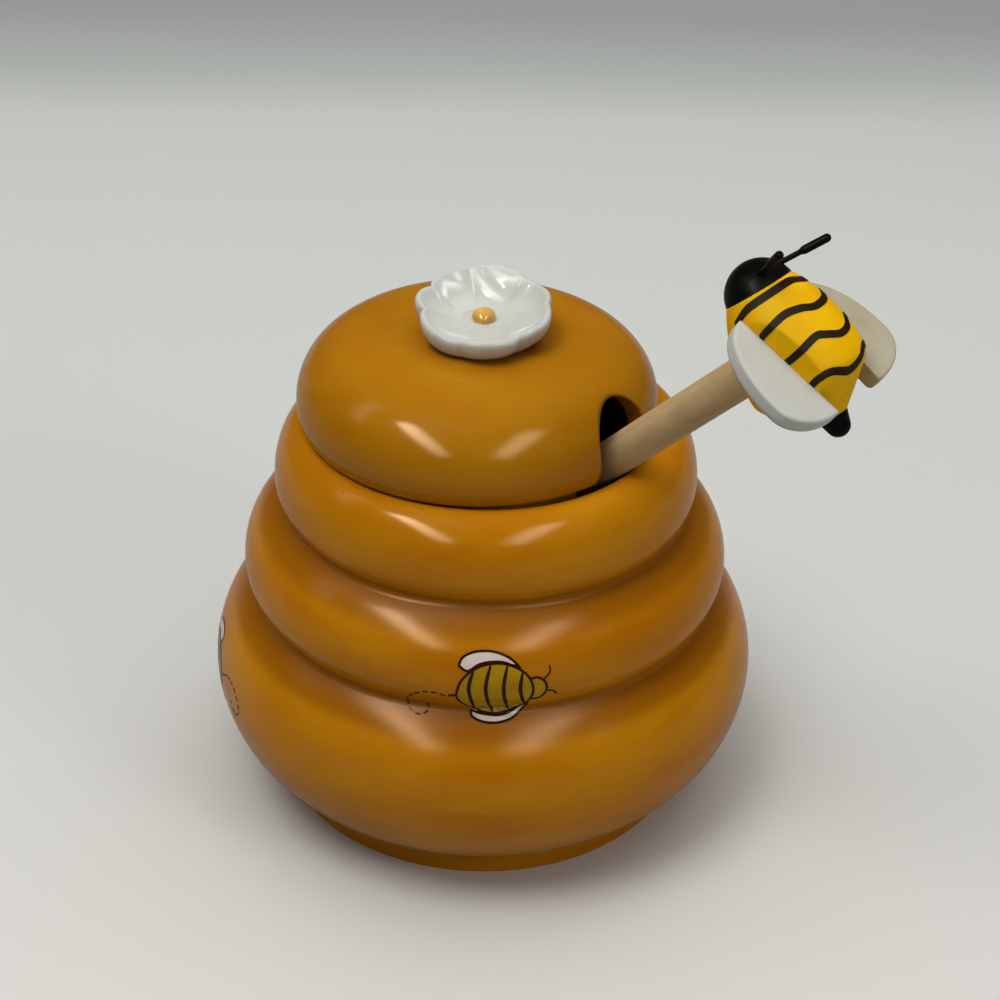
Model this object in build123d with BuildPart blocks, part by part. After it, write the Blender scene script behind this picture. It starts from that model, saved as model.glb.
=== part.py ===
from build123d import *
import math
import os

# Beehive honey pot: a glazed pot of three stacked rings, a loose lid with a
# flower knob and a notch, and a wooden dipper with a bee on its handle.
# Millimetres, +Z up. The origin is the centre of the pot's resting plane. The
# lid's notch and the leaning dipper lie in the XZ plane, towards +X.

# ---- pot: outer skin, ring by ring from the foot up ----
foot_radius = 43.7
foot_height = 4.4
foot_ring_width = 5.2
foot_recess_depth = 2.0
belly_radius = 57.0
belly_rise = 15.0
belly_knee_inset = 5.1
belly_knee_rise = 7.8
lower_crease_inset = 9.7
lower_crease_rise = 18.3
middle_ring_inset = 7.0
middle_ring_rise = 6.4
upper_crease_inset = 9.2
upper_crease_rise = 13.5
top_ring_inset = 6.9
top_ring_rise = 5.3
lip_crest_inset = 7.1
lip_crest_rise = 12.1
lip_round = 3.0
crease_round = 1.2

# ---- pot: inside ----
pot_wall = 4.2
floor_thickness = 5.0
floor_edge_inset = 14.8
floor_blend = 6.0
inner_ridge_round = 3.0
mouth_land = 2.6
mouth_under_round = 1.0

# ---- lid ----
seat_gap = 0.3
lid_offset_x = -1.6
lid_offset_y = -1.2
lid_overhang = 0.1
lid_equator_rise = 4.6
lid_seat_inset = 1.2
lid_seat_round = 0.7
lid_shoulder_inset = 11.2
lid_shoulder_rise = 12.9
lid_crown_rise = 1.65
lid_wall = 4.0
flange_clearance = 2.3
flange_depth = 5.5
flange_wall = 3.1
flange_round = 1.0
notch_width = 14.6
notch_crown_height = 14.7
notch_depth = 12.1

# ---- flower knob ----
petal_count = 7
knob_offset_x = 0.1
knob_offset_y = -1.6
first_petal_angle = 65.0
petal_round = 5.7
petal_reach = 13.9
petal_gap_round = 1.0
knob_seat_radius = 9.2
flower_base_radius = 7.0
flower_heel_radius = 10.6
flower_heel_height = 0.35
flower_cheek_radius = 13.3
flower_cheek_height = 3.4
flower_rim_radius = 14.5
flower_rim_height = 7.6
flower_wall = 1.7
flower_slope_radius = 9.8
flower_slope_height = 2.9
flower_floor_radius = 6.2
flower_floor_height = 1.9
centre_recess_radius = 4.4
centre_recess_depth = 0.25
centre_bead_radius = 2.6
centre_bead_height = 1.3

# ---- dipper, one turned piece ----
handle_radius = 3.8
nose_wall_gap = 11.79
lean_refinements = 20
rest_gap = 0.27
floor_gap = 0.3
dipper_nose_radius = 4.5
dipper_nose_length = 3.2
dipper_head_end_radius = 8.0
dipper_head_radius = 9.6
dipper_barrel_length = 25.0
dipper_shoulder_length = 4.0
dipper_neck_radius = 5.4
groove_count = 6
groove_width = 2.0
groove_core_radius = 5.4

# ---- bee ----
bee_centre_along_dipper = 50.1
body_tilt = 4.0
body_rise = 0.5
collar_offset = 11.4
collar_radius = 6.5
bee_widest_offset = 5.25
bee_radius = 11.1
tail_shoulder_offset = 8.36
tail_shoulder_radius = 9.7
tail_cut_offset = 14.2
tail_cut_radius = 2.9
socket_clearance = 0.05
handle_end_above_centre = 3.0
handle_end_gap = 0.3
bee_head_length = 5.5
stinger_length = 4.1
stinger_nose_length = 1.4
stinger_nose_radius = 2.1
antenna_base_offset = 13.4
antenna_base_height = 4.4
antenna_base_spread = 2.4
antenna_spread_angle = 24.8
left_antenna_forward_lean = 4.5
right_antenna_forward_lean = -6.0
antenna_wire_radius = 0.5
antenna_wire_length = 5.7
antenna_club_radius = 0.78
antenna_club_taper = 0.8
antenna_club_length = 6.0
wing_root_front = (-8.8, 1.2, 8.9)
wing_root_back = (13.5, 6.9, 6.9)
wing_reach = 11.5
wing_sweep = 4.4
wing_tilt = 3.4
wing_thickness = 3.4
wing_under_round = 1.4
wing_top_round = 0.45

quarter_turn = 90

os.makedirs("parts", exist_ok=True)


def inset(point, amount):
    """The same height, nearer the axis."""
    return (point[0] - amount, point[1])


def ring_at(turned, point, axis_x=0, axis_y=0):
    """The circular edge of a turned part nearest a radius and height."""

    def distance(edge):
        off = 0
        for end in (edge @ 0, edge @ 0.5):
            radius = math.hypot(end.X - axis_x, end.Y - axis_y)
            off += abs(radius - point[0]) + abs(end.Z - point[1])
        return off

    return turned.edges().sort_by(distance)[0]


# ---- pot ----
# each ring stands on the one below it
foot_edge = (foot_radius, foot_height)
belly_knee = (belly_radius - belly_knee_inset, foot_height + belly_knee_rise)
belly = (belly_radius, belly_knee[1] + belly_rise)
lower_crease = (belly_radius - lower_crease_inset, belly[1] + lower_crease_rise)
middle_ring = (belly_radius - middle_ring_inset, lower_crease[1] + middle_ring_rise)
upper_crease = (middle_ring[0] - upper_crease_inset, middle_ring[1] + upper_crease_rise)
top_ring = (middle_ring[0] - top_ring_inset, upper_crease[1] + top_ring_rise)
lip_crest_radius = top_ring[0] - lip_crest_inset
lip_crest_height = top_ring[1] + lip_crest_rise
lip_crest = (lip_crest_radius, lip_crest_height)
mouth_radius = lip_crest_radius - lip_round
mouth_top = (mouth_radius, lip_crest_height - lip_round)
mouth_bottom = (mouth_radius, lip_crest_height - lip_round - mouth_land)
recess_radius = foot_radius - foot_ring_width
floor_height = foot_recess_depth + floor_thickness
floor_edge = (belly_radius - pot_wall - floor_edge_inset, floor_height)

with BuildPart() as pot:
    with BuildSketch(Plane.XZ) as pot_wall_section:
        with BuildLine():
            Polyline(
                (0, floor_height),
                (0, foot_recess_depth),
                (recess_radius, foot_recess_depth),
                (recess_radius, 0),
                (foot_radius, 0),
                foot_edge,
            )
            belly_under = TangentArc(belly, belly_knee, tangent=(0, -1))
            TangentArc(belly_knee, foot_edge, tangent=belly_under % 1)
            TangentArc(belly, lower_crease, tangent=(0, 1))
            TangentArc(middle_ring, lower_crease, tangent=(0, -1))
            TangentArc(middle_ring, upper_crease, tangent=(0, 1))
            TangentArc(top_ring, upper_crease, tangent=(0, -1))
            EllipticalCenterArc(
                (lip_crest_radius, top_ring[1]),
                x_radius=lip_crest_inset,
                y_radius=lip_crest_rise,
                start_angle=0,
                arc_size=quarter_turn,
            )
            TangentArc(lip_crest, mouth_top, tangent=(-1, 0))
            Line(mouth_top, mouth_bottom)
            TangentArc(inset(top_ring, pot_wall), mouth_bottom, tangent=(0, 1))
            TangentArc(inset(top_ring, pot_wall), inset(upper_crease, pot_wall), tangent=(0, -1))
            TangentArc(inset(middle_ring, pot_wall), inset(upper_crease, pot_wall), tangent=(0, 1))
            TangentArc(inset(middle_ring, pot_wall), inset(lower_crease, pot_wall), tangent=(0, -1))
            TangentArc(inset(belly, pot_wall), inset(lower_crease, pot_wall), tangent=(0, 1))
            TangentArc(inset(belly, pot_wall), floor_edge, tangent=(0, -1))
            Line(floor_edge, (0, floor_height))
        make_face()
    revolve(axis=Axis.Z)
    fillet([ring_at(pot, lower_crease), ring_at(pot, upper_crease)], radius=crease_round)
    inner_ridges = [ring_at(pot, inset(crease, pot_wall)) for crease in (lower_crease, upper_crease)]
    fillet(inner_ridges, radius=inner_ridge_round)
    fillet(ring_at(pot, floor_edge), radius=floor_blend)
    fillet(ring_at(pot, mouth_bottom), radius=mouth_under_round)
pot.part.label = "pot"

# ---- lid ----
seat_height = lip_crest_height + seat_gap
lid_radius = lip_crest_radius + lid_overhang
lid_seat_radius = lid_radius - lid_seat_inset
lid_shoulder_radius = lid_radius - lid_shoulder_inset
lid_equator = (lid_radius, seat_height + lid_equator_rise)
lid_shoulder = (lid_shoulder_radius, seat_height + lid_equator_rise + lid_shoulder_rise)
lid_top_height = lid_shoulder[1] + lid_crown_rise
crown_sphere_radius = (lid_shoulder_radius**2 + lid_crown_rise**2) / (2 * lid_crown_rise)
shoulder_slope = math.asin(lid_shoulder_radius / crown_sphere_radius)
knob_seat_drop = crown_sphere_radius - math.sqrt(crown_sphere_radius**2 - knob_seat_radius**2)
knob_seat_height = lid_top_height - knob_seat_drop
flange_outer = mouth_radius - flange_clearance
flange_inner = flange_outer - flange_wall
flange_foot = seat_height - flange_depth
hollow_equator = inset(lid_equator, lid_wall)
hollow_shoulder = (
    lid_shoulder[0] - lid_wall * math.sin(shoulder_slope),
    lid_shoulder[1] - lid_wall * math.cos(shoulder_slope),
)

lid_section_plane = Plane(origin=(lid_offset_x, lid_offset_y, 0), x_dir=(1, 0, 0), z_dir=(0, -1, 0))
lid_axis = Axis(lid_section_plane.origin, (0, 0, 1))
notch_plane = Plane(origin=(lid_radius - notch_depth, lid_offset_y, 0), x_dir=(0, 1, 0), z_dir=(1, 0, 0))

with BuildPart() as lid:
    with BuildSketch(lid_section_plane) as lid_section:
        with BuildLine():
            Polyline(
                (lid_seat_radius, seat_height),
                (flange_outer, seat_height),
                (flange_outer, flange_foot),
                (flange_inner, flange_foot),
                (flange_inner, seat_height),
            )
            TangentArc(hollow_equator, (flange_inner, seat_height), tangent=(0, -1))
            TangentArc(hollow_equator, hollow_shoulder, tangent=(0, 1))
            TangentArc((0, lid_top_height - lid_wall), hollow_shoulder, tangent=(1, 0))
            Polyline(
                (0, lid_top_height - lid_wall),
                (0, knob_seat_height),
                (knob_seat_radius, knob_seat_height),
            )
            RadiusArc((knob_seat_radius, knob_seat_height), lid_shoulder, crown_sphere_radius)
            TangentArc(lid_equator, lid_shoulder, tangent=(0, 1))
            TangentArc(lid_equator, (lid_seat_radius, seat_height), tangent=(0, -1))
        make_face()
    revolve(axis=lid_axis)
    lid_centre = (lid_offset_x, lid_offset_y)
    fillet(ring_at(lid, (lid_seat_radius, seat_height), *lid_centre), radius=lid_seat_round)
    flange_sides = (flange_outer, flange_inner)
    flange_ends = [ring_at(lid, (side, flange_foot), *lid_centre) for side in flange_sides]
    fillet(flange_ends, radius=flange_round)
    # the arched notch that lets the dipper out, cut level through the side
    with BuildSketch(notch_plane) as notch_outline:
        with BuildLine():
            spring_height = seat_height + notch_crown_height - notch_width / 2
            below_flange = flange_foot - flange_depth
            Polyline(
                (notch_width / 2, spring_height),
                (notch_width / 2, below_flange),
                (-notch_width / 2, below_flange),
                (-notch_width / 2, spring_height),
            )
            RadiusArc((-notch_width / 2, spring_height), (notch_width / 2, spring_height), notch_width / 2)
        make_face()
    extrude(amount=lid_radius, mode=Mode.SUBTRACT)
lid.part.label = "lid"

# ---- flower knob ----
flower_bottom = knob_seat_height
flower_floor = flower_bottom + flower_floor_height
flower_rim = flower_bottom + flower_rim_height

knob_section_plane = Plane(
    origin=(knob_offset_x, knob_offset_y, 0),
    x_dir=(1, 0, 0),
    z_dir=(0, -1, 0),
)
knob_axis = Axis(knob_section_plane.origin, (0, 0, 1))

with BuildPart() as flower_knob:
    with BuildSketch(knob_section_plane) as flower_section:
        with BuildLine():
            Line((0, flower_bottom), (flower_base_radius, flower_bottom))
            Spline(
                (flower_base_radius, flower_bottom),
                (flower_heel_radius, flower_bottom + flower_heel_height),
                (flower_cheek_radius, flower_bottom + flower_cheek_height),
                (flower_rim_radius, flower_rim),
                tangents=((1, 0), (1, 4)),
            )
            Line((flower_rim_radius, flower_rim), (flower_rim_radius - flower_wall, flower_rim))
            Spline(
                (flower_rim_radius - flower_wall, flower_rim),
                (flower_cheek_radius - flower_wall, flower_bottom + flower_cheek_height + flower_wall),
                (flower_slope_radius, flower_bottom + flower_slope_height),
                (flower_floor_radius, flower_floor),
                tangents=((-1, -4), (-1, 0)),
            )
            Polyline((flower_floor_radius, flower_floor), (0, flower_floor), (0, flower_bottom))
        make_face()
    revolve(axis=knob_axis)
    # the petals' round ends, seen from above
    with BuildSketch(Plane((knob_offset_x, knob_offset_y, flower_bottom))) as petal_outline:
        Circle(petal_reach - petal_round)
        with PolarLocations(petal_reach - petal_round, petal_count, start_angle=first_petal_angle):
            Circle(petal_round)
        fillet(petal_outline.vertices(), radius=petal_gap_round)
    extrude(amount=flower_rim_height, mode=Mode.INTERSECT)
    with BuildSketch(Plane((knob_offset_x, knob_offset_y, flower_floor))) as centre_recess:
        Circle(centre_recess_radius)
    extrude(amount=-centre_recess_depth, mode=Mode.SUBTRACT)
flower_knob.part.label = "flower_knob"

bead_bottom = flower_floor - centre_recess_depth
with BuildPart() as flower_centre:
    with BuildSketch(knob_section_plane) as bead_section:
        with BuildLine():
            TangentArc(
                (0, bead_bottom + centre_bead_height),
                (centre_bead_radius, bead_bottom),
                tangent=(1, 0),
            )
            Polyline(
                (0, bead_bottom + centre_bead_height),
                (0, bead_bottom),
                (centre_bead_radius, bead_bottom),
            )
        make_face()
    revolve(axis=knob_axis)
flower_centre.part.label = "flower_centre"

# ---- dipper ----
# the handle rests on the lip's rounding and the head's corner on the floor
lip_round_centre = Vector(lip_crest_radius, 0, lip_crest_height - lip_round)
nose_middle = (
    dipper_nose_length * (1 - math.cos(math.pi / 4)),
    dipper_nose_radius + (dipper_head_end_radius - dipper_nose_radius) * math.sin(math.pi / 4),
)


def rest_at(lean):
    """The point of the dipper's axis beside the lip."""
    upper_side = Vector(-math.sin(lean), 0, math.cos(lean))
    return lip_round_centre + upper_side * (lip_round + rest_gap + handle_radius)


def tip_height_at(lean):
    nose_drop = nose_middle[1] * math.cos(lean) - nose_middle[0] * math.sin(lean)
    return floor_height + floor_gap + nose_drop


# the nose reaches to a set gap from the far wall, which gives the lean
tip_reach = belly_radius - pot_wall - nose_wall_gap
lean = math.atan2(lip_crest_height, belly_radius)
for _ in range(lean_refinements):
    lean = math.atan2(rest_at(lean).Z - tip_height_at(lean), rest_at(lean).X + tip_reach)
dipper_direction = Vector(math.cos(lean), 0, math.sin(lean))
dipper_rest = rest_at(lean)
dipper_tip_height = tip_height_at(lean)
tip_along_dipper = (dipper_tip_height - dipper_rest.Z) / math.sin(lean)
dipper_tip = dipper_rest + dipper_direction * tip_along_dipper
bee_centre = dipper_rest + dipper_direction * bee_centre_along_dipper
dipper_length = bee_centre_along_dipper + handle_end_above_centre - tip_along_dipper
dipper_plane = Plane(origin=dipper_tip, x_dir=dipper_direction, z_dir=(0, -1, 0))
dipper_axis = Axis(dipper_tip, dipper_direction)
barrel_end = dipper_nose_length + dipper_barrel_length
head_end = barrel_end + dipper_shoulder_length

with BuildPart() as dipper:
    with BuildSketch(dipper_plane) as dipper_section:
        with BuildLine():
            Polyline((head_end, handle_radius), (dipper_length, handle_radius))
            Polyline((dipper_length, handle_radius), (dipper_length, 0), (0, 0), (0, dipper_nose_radius))
            ThreePointArc(
                (0, dipper_nose_radius),
                nose_middle,
                (dipper_nose_length, dipper_head_end_radius),
            )
            ThreePointArc(
                (dipper_nose_length, dipper_head_end_radius),
                ((dipper_nose_length + barrel_end) / 2, dipper_head_radius),
                (barrel_end, dipper_head_end_radius),
            )
            Polyline(
                (barrel_end, dipper_head_end_radius),
                (barrel_end, dipper_neck_radius),
                (head_end, handle_radius),
            )
        make_face()
    revolve(axis=dipper_axis)
    # the honey grooves, evenly spaced along the barrel
    groove_pitch = dipper_barrel_length / (groove_count + 1)
    groove_depth = dipper_head_radius - groove_core_radius
    with BuildSketch(dipper_plane) as groove_section:
        for groove in range(groove_count):
            groove_at = dipper_nose_length + groove_pitch * (groove + 1)
            with Locations((groove_at, groove_core_radius)):
                Rectangle(groove_width, 2 * groove_depth, align=(Align.CENTER, Align.MIN))
    revolve(axis=dipper_axis, mode=Mode.SUBTRACT)
dipper.part.label = "dipper"

# ---- bee ----
# local axes: x from head to tail, y up along the dipper, z to the bee's left
bee_direction = Vector(math.sin(lean), 0, -math.cos(lean))
bee_plane = Plane(origin=bee_centre, x_dir=bee_direction, z_dir=(0, -1, 0))
# the body, head and stinger are turned on one axis, which dips to the tail
body_lean = lean - math.radians(body_tilt)
body_direction = Vector(math.sin(body_lean), 0, -math.cos(body_lean))
body_centre = bee_centre + dipper_direction * body_rise
body_plane = Plane(origin=body_centre, x_dir=body_direction, z_dir=(0, -1, 0))
body_axis = Axis(body_centre, body_direction)


def plane_on_bee(origin, x_dir, z_dir):
    """A plane given in the bee's own axes."""
    place = bee_plane.from_local_coords(Vector(*origin))
    along = bee_plane.from_local_coords(Vector(*x_dir)) - bee_centre
    normal = bee_plane.from_local_coords(Vector(*z_dir)) - bee_centre
    return Plane(origin=place, x_dir=along, z_dir=normal)


def wing_plane(side):
    """The top face's plane, x along the root; side is 1 for left, -1 for right."""
    front = Vector(wing_root_front[0], wing_root_front[1], side * wing_root_front[2])
    back = Vector(wing_root_back[0], wing_root_back[1], side * wing_root_back[2])
    normal = Vector(0, 0, 1).cross(back - front)
    flat = plane_on_bee((front + back) / 2, back - front, normal)
    return flat.rotated((-side * wing_tilt, 0, 0))


def antenna_plane(side):
    """The antenna's own plane, x up from its foot in the head."""
    foot = (-antenna_base_offset, antenna_base_height, side * antenna_base_spread)
    spread = math.radians(antenna_spread_angle)
    forward = math.radians(left_antenna_forward_lean if side == 1 else right_antenna_forward_lean)
    upright = math.cos(forward)
    rise = (-math.sin(forward), math.cos(spread) * upright, side * math.sin(spread) * upright)
    return plane_on_bee(foot, rise, (1, 0, -rise[0] / rise[2]))


with BuildPart() as bee_body:
    with BuildSketch(body_plane) as body_section:
        with BuildLine():
            collar = (-collar_offset, collar_radius)
            widest = (bee_widest_offset, bee_radius)
            tail_shoulder = (tail_shoulder_offset, tail_shoulder_radius)
            tail = (tail_cut_offset, tail_cut_radius)
            TangentArc(widest, collar, tangent=(-1, 0))
            TangentArc(widest, tail_shoulder, tangent=(1, 0))
            Line(tail_shoulder, tail)
            Polyline(tail, (tail_cut_offset, 0), (-collar_offset, 0), collar)
        make_face()
    revolve(axis=body_axis)
    with BuildSketch(Plane(origin=bee_centre, z_dir=dipper_direction)) as socket:
        Circle(handle_radius + socket_clearance)
    extrude(amount=handle_end_above_centre + handle_end_gap, mode=Mode.SUBTRACT)
    extrude(socket.sketch, amount=-2 * bee_radius, mode=Mode.SUBTRACT)
    # a ledge and a flat on each side, where the wings are glued
    for side in (1, -1):
        with BuildSketch(wing_plane(side).offset(-wing_thickness)) as wing_seat:
            with Locations((0, -side * bee_radius)):
                Rectangle(4 * bee_radius, 2 * bee_radius)
        extrude(amount=2 * bee_radius, mode=Mode.SUBTRACT)
bee_body.part.label = "bee_body"

with BuildPart() as bee_head:
    with BuildSketch(body_plane) as head_section:
        with BuildLine():
            TangentArc((-collar_offset - bee_head_length, 0), collar, tangent=(0, 1))
            Polyline(
                (-collar_offset - bee_head_length, 0),
                (-collar_offset, 0),
                (-collar_offset, collar_radius),
            )
        make_face()
    revolve(axis=body_axis)
    for side in (1, -1):
        foot_plane = Plane(antenna_plane(side).origin, z_dir=antenna_plane(side).x_dir)
        with BuildSketch(foot_plane) as antenna_hole:
            Circle(antenna_wire_radius + socket_clearance)
        extrude(amount=collar_radius, mode=Mode.SUBTRACT)
bee_head.part.label = "bee_head"

with BuildPart() as stinger:
    with BuildSketch(body_plane) as stinger_section:
        with BuildLine():
            stinger_tip = (tail_cut_offset + stinger_length, 0)
            stinger_nose = (stinger_tip[0] - stinger_nose_length, stinger_nose_radius)
            TangentArc(stinger_tip, stinger_nose, tangent=(0, 1))
            Polyline(stinger_tip, (tail_cut_offset, 0), tail, stinger_nose)
        make_face()
    revolve(axis=body_axis)
stinger.part.label = "stinger"

antennae = []
for side, name in ((1, "antenna_left"), (-1, "antenna_right")):
    with BuildPart() as antenna:
        club_start = antenna_wire_length
        antenna_end = antenna_wire_length + antenna_club_length
        with BuildSketch(antenna_plane(side)) as antenna_section:
            with BuildLine():
                Polyline(
                    (antenna_end, 0),
                    (0, 0),
                    (0, antenna_wire_radius),
                    (club_start, antenna_wire_radius),
                    (club_start + antenna_club_taper, antenna_club_radius),
                    (antenna_end - antenna_club_radius, antenna_club_radius),
                )
                TangentArc(
                    (antenna_end - antenna_club_radius, antenna_club_radius),
                    (antenna_end, 0),
                    tangent=(1, 0),
                )
            make_face()
        revolve(axis=Axis(antenna_plane(side).origin, antenna_plane(side).x_dir))
    antenna.part.label = name
    antennae.append(antenna)

wings = []
for side, name in ((1, "wing_left"), (-1, "wing_right")):
    with BuildPart() as wing:
        root_length = (Vector(wing_root_back) - Vector(wing_root_front)).length
        with BuildSketch(wing_plane(side)) as wing_outline:
            with BuildLine():
                # two quarter ellipses meeting where the wing reaches furthest
                for reach, start_angle in (
                    (root_length / 2 + wing_sweep, 2 * quarter_turn),
                    (root_length / 2 - wing_sweep, (2 + side) * quarter_turn),
                ):
                    EllipticalCenterArc(
                        (wing_sweep, 0),
                        x_radius=reach,
                        y_radius=wing_reach,
                        start_angle=start_angle,
                        arc_size=side * quarter_turn,
                    )
                Line((-root_length / 2, 0), (root_length / 2, 0))
            make_face()
        extrude(amount=-wing_thickness)
        upward = Axis(wing_plane(side).origin, wing_plane(side).z_dir)
        under_edges = wing.faces().sort_by(upward)[0].edges()
        fillet(under_edges.filter_by(GeomType.ELLIPSE), radius=wing_under_round)
        top_edges = wing.faces().sort_by(upward)[-1].edges()
        fillet(top_edges.filter_by(GeomType.ELLIPSE), radius=wing_top_round)
    wing.part.label = name
    wings.append(wing)

for piece in (pot, lid, flower_knob, flower_centre, dipper, bee_body, bee_head, stinger, *antennae, *wings):
    export_step(piece.part, f"parts/{piece.part.label}.step")
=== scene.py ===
import math
import bpy
import bmesh
from mathutils import Matrix, Vector, noise
from mathutils.bvhtree import BVHTree
from mathutils.geometry import interpolate_bezier


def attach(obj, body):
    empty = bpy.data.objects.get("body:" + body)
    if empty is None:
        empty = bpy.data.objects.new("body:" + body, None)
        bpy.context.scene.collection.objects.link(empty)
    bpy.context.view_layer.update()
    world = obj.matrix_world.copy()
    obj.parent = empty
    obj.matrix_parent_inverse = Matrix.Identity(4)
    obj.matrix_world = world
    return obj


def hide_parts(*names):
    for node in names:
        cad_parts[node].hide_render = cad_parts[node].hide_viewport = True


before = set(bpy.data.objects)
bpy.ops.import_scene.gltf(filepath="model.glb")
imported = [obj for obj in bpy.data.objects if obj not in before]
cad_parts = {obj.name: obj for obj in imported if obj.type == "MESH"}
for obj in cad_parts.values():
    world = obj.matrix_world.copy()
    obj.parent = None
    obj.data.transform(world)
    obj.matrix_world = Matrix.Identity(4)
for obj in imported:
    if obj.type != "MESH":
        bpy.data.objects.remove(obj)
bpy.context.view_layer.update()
print("frame loaded")

mm = 0.001
rnd = math.radians


# ---------------------------------------------------------------- helpers
def srgb(r, g, b):
    out = []
    for c in (r, g, b):
        c = c / 255
        out.append(c / 12.92 if c <= 0.04045 else ((c + 0.055) / 1.055) ** 2.4)
    return (out[0], out[1], out[2], 1)


def finish(bm, name, mat, body, node=None, sharp=None):
    bmesh.ops.recalc_face_normals(bm, faces=bm.faces)
    me = bpy.data.meshes.new(name)
    bm.to_mesh(me)
    bm.free()
    me.materials.append(mat)
    me.shade_smooth()
    if sharp is not None:
        me.set_sharp_from_angle(angle=rnd(sharp))
    ob = bpy.data.objects.new(name, me)
    bpy.context.scene.collection.objects.link(ob)
    if body:
        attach(ob, body)
    if node:
        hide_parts(node)
    return ob


def newMaterial(name):
    m = bpy.data.materials.new(name)
    m.use_nodes = True
    nt = m.node_tree
    bsdf = nt.nodes["Principled BSDF"]
    return m, nt, bsdf


def join(nt, a, b):
    nt.links.new(a, b)


def feed(nt, value, socket):
    # another node's socket is joined, a plain value is set
    if isinstance(value, bpy.types.NodeSocket):
        join(nt, value, socket)
    else:
        socket.default_value = value


def addNode(nt, kind, place=(0, 0), **values):
    n = nt.nodes.new(kind)
    n.location = place
    for k, v in values.items():
        if hasattr(n, k) and k not in n.inputs:
            setattr(n, k, v)
        else:
            feed(nt, v, n.inputs[k])
    return n


def calculate(nt, operation, place, *values):
    n = addNode(nt, "ShaderNodeMath", place, operation=operation)
    for k, value in enumerate(values):
        feed(nt, value, n.inputs[k])
    return n.outputs[0]


def mixColours(nt, place, share, first, second):
    n = addNode(nt, "ShaderNodeMix", place, data_type="RGBA")
    for k, value in (("Factor", share), ("A", first), ("B", second)):
        feed(nt, value, n.inputs[k])
    return n.outputs["Result"]


def rescale(nt, place, value, fromEnds=(0, 1), toEnds=(0, 1), kind="LINEAR"):
    n = addNode(nt, "ShaderNodeMapRange", place, interpolation_type=kind, Value=value)
    for k, end in zip(("From Min", "From Max", "To Min", "To Max"), (*fromEnds, *toEnds)):
        n.inputs[k].default_value = end
    return n.outputs["Result"]


def ramped(nt, place, value, stops, kind="LINEAR"):
    n = addNode(nt, "ShaderNodeValToRGB", place, Fac=value)
    n.color_ramp.interpolation = kind
    ends = n.color_ramp.elements
    ends[0].position, ends[0].color = stops[0]
    ends[1].position, ends[1].color = stops[-1]
    for where, colour in stops[1:-1]:
        n.color_ramp.elements.new(where).color = colour
    return n.outputs["Color"]


# ---------------------------------------------------------------- shader groups
def makeGroup(name, ins):
    g = bpy.data.node_groups.new(name, "ShaderNodeTree")
    for nm, kind, default in ins:
        s = g.interface.new_socket(nm, in_out="INPUT", socket_type=kind)
        s.default_value = default
    for nm, kind in (("Color", "NodeSocketColor"), ("Height", "NodeSocketFloat"), ("Roughness", "NodeSocketFloat")):
        g.interface.new_socket(nm, in_out="OUTPUT", socket_type=kind)
    gi = g.nodes.new("NodeGroupInput")
    go = g.nodes.new("NodeGroupOutput")
    gi.location, go.location = (-900, 0), (900, 0)
    return g, gi, go


def useGroup(nt, group, place=(-600, 0), **values):
    n = nt.nodes.new("ShaderNodeGroup")
    n.node_tree = group
    n.location = place
    for k, v in values.items():
        n.inputs[k].default_value = v
    return n


# glaze: slow drift of colour, fine specks, painted shade in the creases, a gentle orange-peel height
gt = {
    "wheel": (1, 1, 3.2),  # the drift runs round the pot, as it was turned
    "drift": (0.35, 0.7), "driftDetail": 3.0, "driftRoughness": 0.5,
    "rarity": 0.93,  # only the cells above this share hold a speck
    "peel": 95.0, "peelDetail": 1.5, "sway": 0.06, "dulling": 0.4,
}
glazeGroup, gi, go = makeGroup(
    "glazeLook",
    [("Base", "NodeSocketColor", (0.5, 0.3, 0.1, 1)), ("Drift", "NodeSocketColor", (0.4, 0.2, 0.05, 1)),
     ("Speck", "NodeSocketColor", (0.1, 0.04, 0.01, 1)), ("DriftScale", "NodeSocketFloat", 30.0),
     ("SpeckScale", "NodeSocketFloat", 420.0), ("SpeckSize", "NodeSocketFloat", 0.07),
     ("Gloss", "NodeSocketFloat", 0.12), ("Pool", "NodeSocketFloat", 0.0),
     ("Dull", "NodeSocketFloat", 0.0), ("PoolColor", "NodeSocketColor", (0.2, 0.06, 0.002, 1))])
g = glazeGroup
spot = addNode(g, "ShaderNodeTexCoord", (-1100, 300)).outputs["Object"]
wheel = addNode(g, "ShaderNodeMapping", (-850, 300), Vector=spot, Scale=gt["wheel"])
drift = addNode(g, "ShaderNodeTexNoise", (-600, 300), Vector=wheel.outputs["Vector"],
                Scale=gi.outputs["DriftScale"], Detail=gt["driftDetail"], Roughness=gt["driftRoughness"])
drifted = mixColours(g, (-150, 250), rescale(g, (-400, 300), drift.outputs["Fac"], gt["drift"]),
                     gi.outputs["Base"], gi.outputs["Drift"])
specks = addNode(g, "ShaderNodeTexVoronoi", (-600, 0), Vector=spot, Scale=gi.outputs["SpeckScale"])
pick = addNode(g, "ShaderNodeSeparateColor", (-400, -150), Color=specks.outputs["Color"])
rare = calculate(g, "GREATER_THAN", (-230, -150), pick.outputs["Red"], gt["rarity"])
near = calculate(g, "LESS_THAN", (-400, 0), specks.outputs["Distance"], gi.outputs["SpeckSize"])
specked = mixColours(g, (150, 150), calculate(g, "MULTIPLY", (-50, -80), rare, near),
                     drifted, gi.outputs["Speck"])
# painted shade: the colour is mixed towards a darker one in the creases, where the rings shade each other
bandShaded = mixColours(g, (400, 150), gi.outputs["Pool"], specked, gi.outputs["PoolColor"])
peel = addNode(g, "ShaderNodeTexNoise", (-600, -350), Vector=spot, Scale=gt["peel"], Detail=gt["peelDetail"])
rough = calculate(g, "MULTIPLY_ADD", (-150, -350), drift.outputs["Fac"], gt["sway"], gi.outputs["Gloss"])
dull = calculate(g, "MULTIPLY_ADD", (150, -350), gi.outputs["Dull"], gt["dulling"], rough)
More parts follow.
